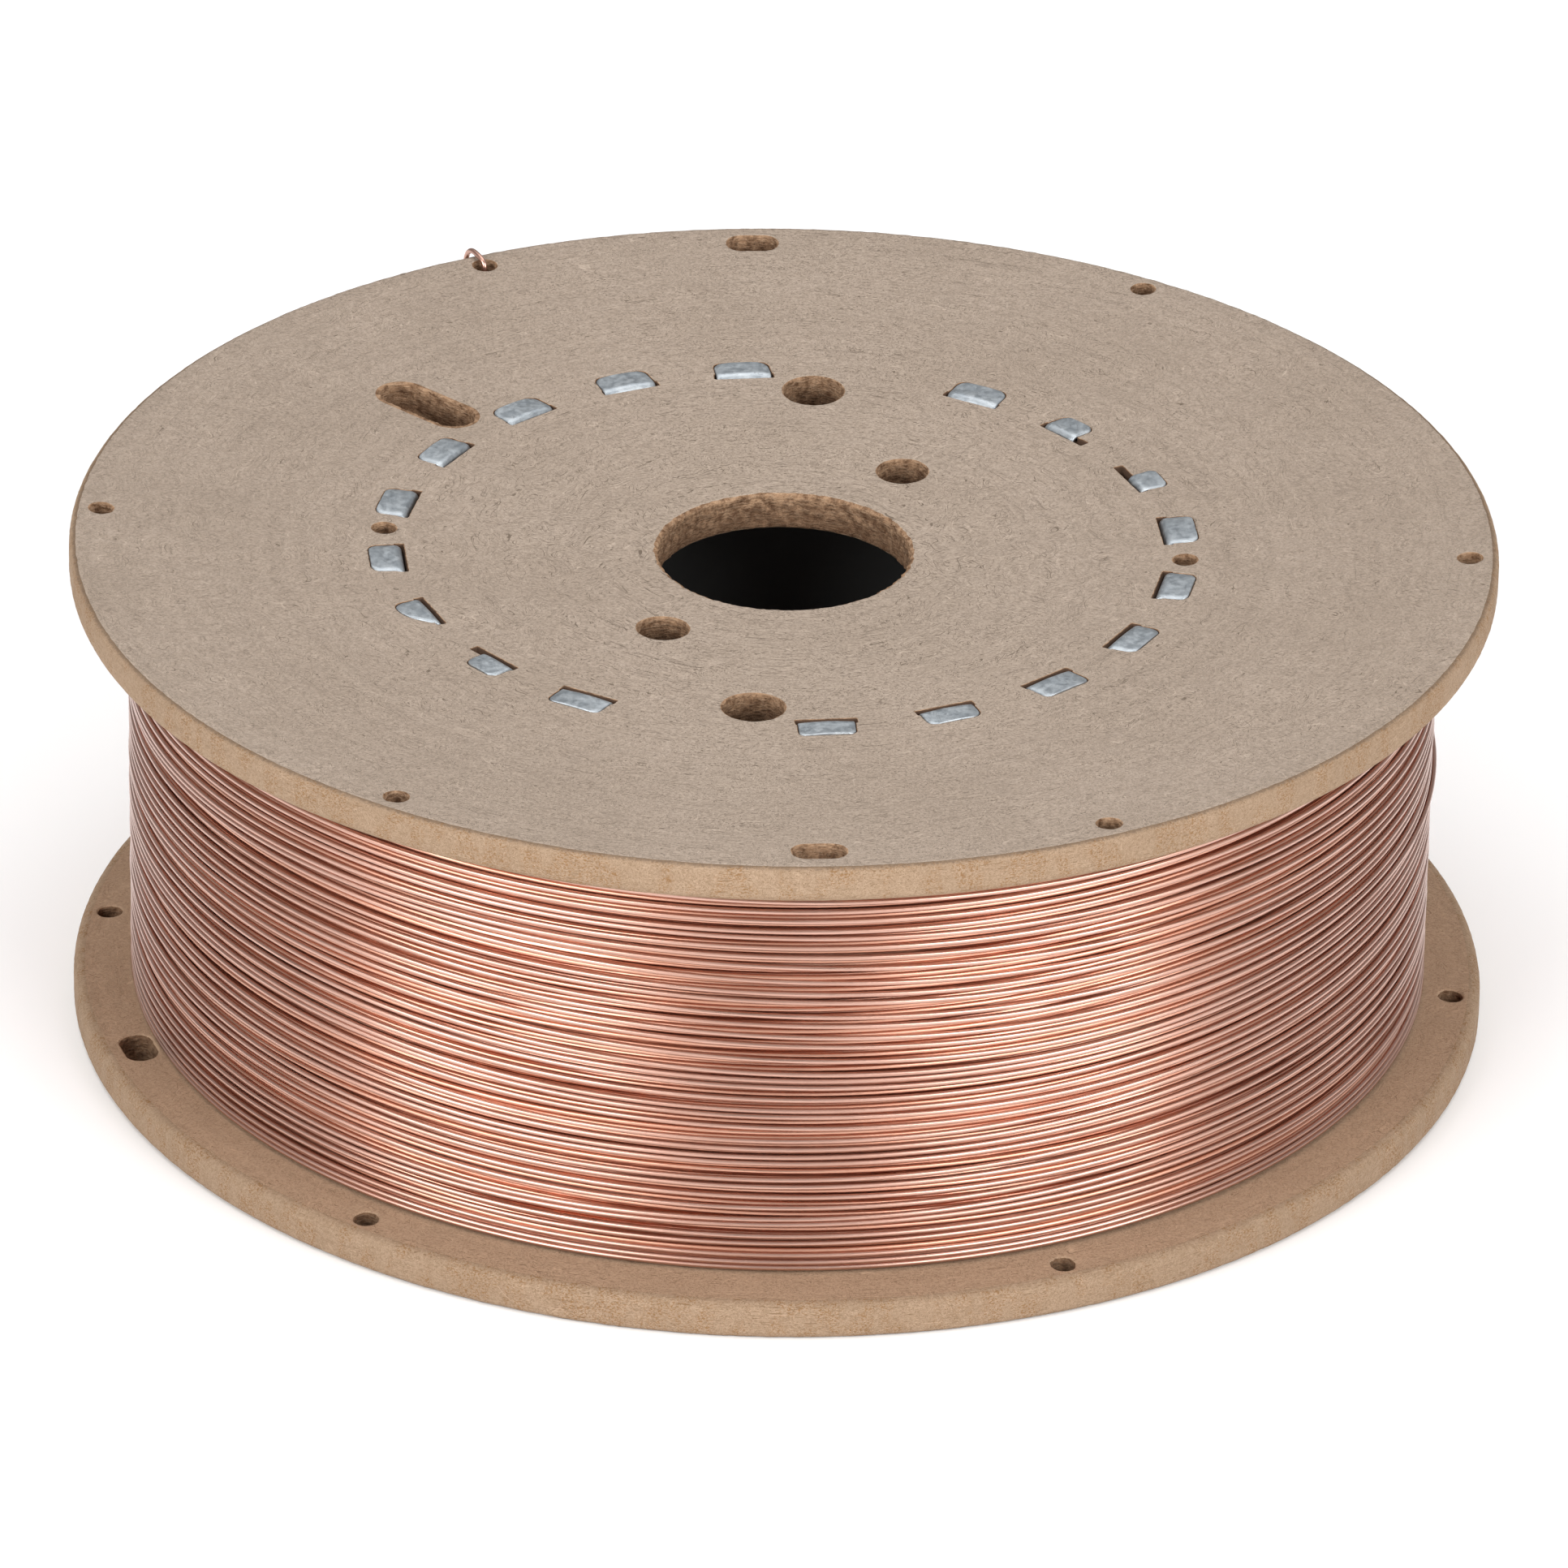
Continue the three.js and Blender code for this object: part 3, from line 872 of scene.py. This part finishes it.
def free_end(last_z):
    """The wire's end: it leaves the last turn, comes up through a rim hole, and is bent over
    the rim and down."""
    hole = rim_holes(TOP_PATTERN)[END_RIM_HOLE]
    radius = WINDING_RADIUS - WIRE / 2
    orbit = RIM_HOLE_ORBIT

    def at(r, turned, z):
        a = math.radians(hole + turned)
        return (r * math.cos(a), r * math.sin(a), z)

    crest = RIM_FACE + 1.1
    rim_inner = RIM_FACE - THICKNESS
    start = END_ANGLE - hole
    points = [
        at(radius, start - 0.3, last_z),
        at(radius + 0.15, start + 4, last_z),
        at(radius + 1.3, start + 9, last_z - 0.4),
        at(radius + 3.0, start + 14, last_z - 0.9),
        at(orbit - 1.4, -2.6, last_z - 0.9),
        at(orbit - 0.2, -0.5, rim_inner + 0.6),
        at(orbit, 0, rim_inner + 3.5),
        at(orbit + 0.1, 0, RIM_FACE - 1.3),
        at(orbit + 0.7, 0, crest - 0.8),
        at(orbit + 2.6, 0.1, crest),
        at(RIM_RADIUS - 0.6, 0.2, crest),
        at(RIM_RADIUS + 1.15, 0.3, RIM_FACE - 0.7),
        at(RIM_RADIUS + 1.4, 0.4, RIM_FACE - 4.6),
    ]
    tube("free_end", smooth_path(points, 12), 14, copper, "wire_end")


# ------------------------------------------------------------------ materials
class Look:
    """A node material under construction, in millimetre coordinates."""

    def __init__(self, name, **sockets):
        self.material = bpy.data.materials.new(name)
        self.material.use_nodes = True
        self.tree = self.material.node_tree
        self.shader = self.tree.nodes["Principled BSDF"]
        for socket, value in sockets.items():
            self.shader.inputs[socket.replace("_", " ")].default_value = value
        place = self.tree.nodes.new("ShaderNodeTexCoord")
        scale = self.tree.nodes.new("ShaderNodeMapping")
        scale.inputs["Scale"].default_value = (1 / MM,) * 3
        self.tree.links.new(place.outputs["Object"], scale.inputs["Vector"])
        self.place = scale.outputs["Vector"]

    def put(self, node, inputs):
        """Sets a node's inputs, each from a value or by a link."""
        for key, value in inputs.items():
            socket = node.inputs[key]
            if isinstance(value, bpy.types.NodeSocket):
                self.tree.links.new(value, socket)
            else:
                socket.default_value = value
        return node

    def noise(self, scale, detail=2.0, rough=0.5, place=None):
        node = self.tree.nodes.new("ShaderNodeTexNoise")
        self.put(node, {"Vector": place or self.place, "Scale": scale, "Detail": detail,
                        "Roughness": rough})
        return node.outputs["Fac"]

    def moved(self, turn_deg=0.0, stretch=(1, 1, 1), shift=(0, 0, 0), place=None):
        node = self.tree.nodes.new("ShaderNodeMapping")
        self.put(node, {"Vector": place or self.place, "Location": shift, "Scale": stretch,
                        "Rotation": (0, 0, math.radians(turn_deg))})
        return node.outputs["Vector"]

    def height(self):
        node = self.tree.nodes.new("ShaderNodeSeparateXYZ")
        self.put(node, {"Vector": self.place})
        return node.outputs["Z"]

    def radius(self):
        """Distance from the spool's axis."""
        node = self.tree.nodes.new("ShaderNodeVectorMath")
        node.operation = "LENGTH"
        self.put(node, {0: self.moved(0, (1, 1, 0))})
        return node.outputs["Value"]

    def below(self, face_height):
        """Depth below the outer faces of both flanges, given the upper one's height."""
        middle = RIM_FACE / 2
        away = self.math("ABSOLUTE", self.math("SUBTRACT", self.height(), middle))
        return self.math("SUBTRACT", self.math("SUBTRACT", face_height, middle), away)

    def span(self, value, low, high, to_low=0.0, to_high=1.0):
        """A value's range mapped to another, and held at its ends."""
        node = self.tree.nodes.new("ShaderNodeMapRange")
        self.put(node, {"Value": value, "From Min": low, "From Max": high,
                        "To Min": to_low, "To Max": to_high})
        return node.outputs["Result"]

    def math(self, how, a, b=0.0):
        node = self.tree.nodes.new("ShaderNodeMath")
        node.operation = how
        self.put(node, {0: a, 1: b})
        return node.outputs["Value"]

    def mix(self, factor, a, b):
        node = self.tree.nodes.new("ShaderNodeMix")
        node.data_type = "RGBA"
        node.clamp_factor = True
        self.put(node, {"Factor": factor})
        for key, value in (("A", a), ("B", b)):
            socket = [s for s in node.inputs if s.name == key and s.type == "RGBA"][0]
            if isinstance(value, bpy.types.NodeSocket):
                self.tree.links.new(value, socket)
            else:
                socket.default_value = (*value, 1)
        return [s for s in node.outputs if s.type == "RGBA"][0]

    def bump(self, height, strength, distance):
        node = self.tree.nodes.new("ShaderNodeBump")
        self.put(node, {"Height": height, "Strength": strength, "Distance": distance * MM})
        return node.outputs["Normal"]

    def finish(self, **links):
        self.put(self.shader, {key.replace("_", " "): value for key, value in links.items()})
        return self.material


def fibres(look, layers, long_scale, short_scale, low, high):
    """A mask of short straight strands lying in several directions in the board's plane."""
    total = None
    for k in range(layers):
        bend = look.noise(0.05, 1.0, place=look.moved(shift=(31 * k, 17, 5)))
        swirl = look.tree.nodes.new("ShaderNodeVectorRotate")
        swirl.rotation_type = "Z_AXIS"
        look.put(swirl, {"Vector": look.place, "Angle": look.span(bend, 0.3, 0.7, -0.5, 0.5)})
        lane = look.moved(180 * k / layers + 11, (long_scale, short_scale, short_scale),
                          (7 * k, 3 * k, 0), swirl.outputs["Vector"])
        mask = look.span(look.noise(1.0, 1.0, 0.4, lane), low, high)
        total = mask if total is None else look.math("MAXIMUM", total, mask)
    return total


def board_look(name, light, dark, strand, flecks=0.0):
    """Pressed hardboard: clouded and grained, with dark and pale strands and thin scratches.
    The sawn edge also has brown flecks and a torn, darker line along the outer face."""
    look = Look(name, Roughness=0.82, Specular_IOR_Level=0.25)
    cloud = look.noise(0.03, 3.0, 0.55)
    patch = look.noise(0.5, 3.0, 0.6)
    grain = look.noise(1.7, 3.0, 0.65)
    colour = look.mix(look.span(cloud, 0.32, 0.68, 0.0, 0.7), light, dark)
    colour = look.mix(look.span(patch, 0.35, 0.68, 0.0, 0.75), colour, dark)
    colour = look.mix(look.span(grain, 0.42, 0.7, 0.0, 0.5), colour, strand)
    dark_strands = fibres(look, 4, 0.55, 3.8, 0.645, 0.72)
    colour = look.mix(look.math("MULTIPLY", dark_strands, 0.9), colour, strand)
    pale = tuple(min(1.0, c * 1.3) for c in light)
    pale_strands = fibres(look, 3, 0.4, 3.4, 0.66, 0.74)
    colour = look.mix(look.math("MULTIPLY", pale_strands, 0.5), colour, pale)
    contour = look.math("ABSOLUTE", look.math("SUBTRACT", look.noise(0.11, 1.0, 0.4), 0.5))
    spell = look.noise(0.13, 1.0, 0.5, look.moved(shift=(57, 23, 0)))
    scratch = look.math("MULTIPLY", look.span(contour, 0.0, 0.006, 1.0, 0.0),
                        look.span(spell, 0.6, 0.64))
    colour = look.mix(look.math("MULTIPLY", scratch, 0.55), colour, pale)
    if flecks:
        clump = look.span(look.noise(0.22, 2.0, 0.5, look.moved(0, (1, 1, 0.4))), 0.46, 0.56)
        spot = look.span(look.noise(1.0, 2.0, 0.6, look.moved(0, (2.0, 2.0, 3.6))), 0.52, 0.6)
        fleck = look.math("MULTIPLY", look.math("MULTIPLY", clump, spot), flecks)
        colour = look.mix(fleck, colour, (0.22, 0.11, 0.04))
        torn = look.math("ADD", look.below(RIM_FACE), look.span(grain, 0.3, 0.7, -0.3, 0.3))
        colour = look.mix(look.span(torn, 0.1, 0.5, 0.75, 0.0), colour, (0.13, 0.085, 0.055))
    height = look.math("ADD", grain, look.math("MULTIPLY", dark_strands, -0.5))
    normal = look.bump(height, 0.6, 0.1)
    rough = look.span(patch, 0.3, 0.7, 0.74, 0.9)
    return look.finish(Base_Color=colour, Normal=normal, Roughness=rough)


def cut_look():
    """Hardboard where it is drilled or sawn: brown and torn, with painted shade that darkens it
    deeper into the board, so it is paler at the outer face."""
    look = Look("board_cut", Roughness=0.92, Specular_IOR_Level=0.12)
    tear = look.noise(0.5, 5.0, 0.72)
    lane = look.noise(1.0, 3.0, 0.6, look.moved(0, (0.6, 0.6, 2.2)))
    rise = look.span(look.radius(), 0, 2 * DISH_FROM, -DISH, DISH)
    depth = look.below(look.math("ADD", rise, TOP_HUB))
    colour = look.mix(look.span(tear, 0.38, 0.62), (0.38, 0.235, 0.14), (0.13, 0.068, 0.036))
    colour = look.mix(look.span(lane, 0.46, 0.66, 0.0, 0.6), colour, (0.46, 0.31, 0.2))
    # painted shade: the wall darkens with depth below the outer face, towards a near-black brown
    shade = look.span(look.math("ADD", depth, look.span(tear, 0.3, 0.7, -2.0, 2.0)), 0.5, 5.0)
    colour = look.mix(look.math("MULTIPLY", shade, 0.55), colour, (0.085, 0.042, 0.023))
    normal = look.bump(look.math("ADD", tear, lane), 1.0, 0.7)
    return look.finish(Base_Color=colour, Normal=normal)


def zinc_look():
    """Galvanised sheet, dulled, with rubs and small scratches."""
    look = Look("zinc", Metallic=1.0, Roughness=0.42)
    smudge = look.noise(0.45, 3.0, 0.6)
    scratch = fibres(look, 2, 0.25, 5.0, 0.68, 0.72)
    colour = look.mix(look.span(smudge, 0.35, 0.65), (0.38, 0.415, 0.445), (0.54, 0.575, 0.60))
    colour = look.mix(look.math("MULTIPLY", scratch, 0.5), colour, (0.22, 0.23, 0.24))
    rough = look.span(look.noise(0.9, 3.0), 0.3, 0.7, 0.4, 0.56)
    normal = look.bump(look.math("ADD", smudge, look.math("MULTIPLY", scratch, -0.6)), 0.4, 0.14)
    return look.finish(Base_Color=colour, Roughness=rough, Normal=normal)


def copper_look(name, bright, brown, streaked, coat):
    """Drawn steel wire under a thin bright copper coat, browned in places."""
    look = Look(name, Metallic=1.0, Roughness=0.26, Coat_Weight=coat, Coat_IOR=1.6,
                Coat_Roughness=0.12)
    tarnish = look.noise(0.06, 3.0, 0.6)
    streak = look.noise(1.0, 2.0, 0.5, look.moved(0, (0.04, 0.04, 1.3)))
    colour = look.mix(look.span(tarnish, 0.35, 0.7, 0.0, 0.5), bright, brown)
    colour = look.mix(look.span(streak, 0.42, 0.68, 0.0, 0.5), colour, streaked)
    rough = look.span(streak, 0.3, 0.7, 0.27, 0.4)
    return look.finish(Base_Color=colour, Roughness=rough)


board_face = board_look(
    "board_face", (0.415, 0.333, 0.268), (0.345, 0.273, 0.214), (0.13, 0.097, 0.07))
board_edge = board_look(
    "board_edge", (0.355, 0.25, 0.168), (0.31, 0.215, 0.14), (0.185, 0.112, 0.06), flecks=0.8)
# The flanges' inner faces are coloured warmer than the outer face: painted reflection of the
# copper's warm bounce light on them.
board_inner_painted_bounce = board_look(
    "board_inner_painted_bounce", (0.418, 0.285, 0.188), (0.358, 0.24, 0.155), (0.19, 0.115, 0.068))
# Flat dark brown for the tab slots and recess floors: painted shade inside them.
board_slot_painted_shade = Look("board_slot_painted_shade", Base_Color=(0.085, 0.045, 0.025, 1), Roughness=0.9).material
BOARD_LOOKS = [board_face, board_edge, cut_look(), board_inner_painted_bounce, board_slot_painted_shade]
zinc = zinc_look()
# The drum's inner face is near-black: painted shade for the inside of the drum, not the sheet's
# own zinc colour.
zinc_inside_painted_shade = Look("zinc_inside_painted_shade", Base_Color=(0.1, 0.1, 0.1, 1), Roughness=0.7).material
copper = copper_look(
    "copper_coat", (0.64, 0.385, 0.305), (0.53, 0.295, 0.222), (0.42, 0.215, 0.155), coat=0.6)
# The same wire below the outer layer gets a more saturated copper: painted colour of the light
# bouncing between the turns, which deepens its orange.
copper_deep_painted_bounce = copper_look(
    "copper_deep_painted_bounce", (0.66, 0.36, 0.26), (0.57, 0.285, 0.195), (0.45, 0.21, 0.135), coat=0.2)


# ------------------------------------------------------------------ camera, floor and light
def camera():
    """The view: from the front, 28 degrees up, a long lens, with a slight roll. Its place is
    in metres: `distance` back along the view, then a shift to the right and up across it."""
    elevation, roll = math.radians(27.79), math.radians(0.974)
    distance, shift_right, shift_up = 2.8, 0.001565, 0.04327
    back = Vector((0, -math.cos(elevation), math.sin(elevation)))
    level = Vector((1, 0, 0))
    rise = Vector((0, math.sin(elevation), math.cos(elevation)))
    right = level * math.cos(roll) + rise * math.sin(roll)
    up = rise * math.cos(roll) - level * math.sin(roll)
    data = bpy.data.cameras.new("camera")
    data.lens = 300.9
    data.sensor_width = 36
    data.clip_end = 60
    item = bpy.data.objects.new("camera", data)
    place = back * distance + right * shift_right + up * shift_up
    item.matrix_world = Matrix((
        (right.x, up.x, back.x, place.x),
        (right.y, up.y, back.y, place.y),
        (right.z, up.z, back.z, place.z),
        (0, 0, 0, 1),
    ))
    bpy.context.scene.collection.objects.link(item)
    bpy.context.scene.camera = item


def softbox(name, place, width, height, power):
    """A rectangular light that faces the middle of the spool."""
    aim = Vector((0, 0, 0.05))
    data = bpy.data.lights.new(name, "AREA")
    data.shape = "RECTANGLE"
    data.size, data.size_y = width, height
    data.energy = power
    item = bpy.data.objects.new(name, data)
    item.location = place
    item.rotation_euler = (aim - Vector(place)).to_track_quat("-Z", "Y").to_euler()
    bpy.context.scene.collection.objects.link(item)


def studio():
    """A white floor, an even surround and three soft lights."""
    mesh = bpy.data.meshes.new("floor")
    half = 12.0
    mesh.from_pydata([(-half, -half, 0), (half, -half, 0), (half, half, 0), (-half, half, 0)],
                     [], [(0, 1, 2, 3)])
    floor = bpy.data.objects.new("floor", mesh)
    bpy.context.scene.collection.objects.link(floor)
    pale = bpy.data.materials.new("floor_paint")
    pale.use_nodes = True
    paint = pale.node_tree.nodes["Principled BSDF"].inputs
    paint["Base Color"].default_value = (0.97, 0.97, 0.97, 1)
    paint["Roughness"].default_value = 0.8
    mesh.materials.append(pale)
    world = bpy.data.worlds.new("studio")
    world.use_nodes = True
    sky = world.node_tree.nodes["Background"].inputs
    sky["Color"].default_value = (1, 1, 1, 1)
    sky["Strength"].default_value = 0.31
    bpy.context.scene.world = world
    softbox("overhead", (0, 0.35, 1.9), 2.0, 1.8, 23)
    softbox("left_box", (-1.33, -1.35, 0.9), 1.55, 1.2, 36)
    softbox("right_box", (1.33, -1.35, 0.9), 1.5, 1.2, 36)
    bpy.context.scene.view_settings.view_transform = "Standard"


camera()
studio()
upper_tabs = make_tabs(True)
lower_tabs = make_tabs(False)
flange("top_board", "top_flange", TOP_PATTERN, upper_tabs, TOP_HUB, 1, 7)
flange("bottom_board", "bottom_flange", BOTTOM_PATTERN, lower_tabs, BOTTOM_HUB, -1, 8)
drum_half("drum_sheet_a", "drum_half_a", SEAM_ANGLE, upper_tabs, lower_tabs)
drum_half("drum_sheet_b", "drum_half_b", SEAM_ANGLE + 180, upper_tabs, lower_tabs)
winding()
winding_core()
free_end(winding_room(WINDING_RADIUS - WIRE / 2)[1] - WIRE / 2)
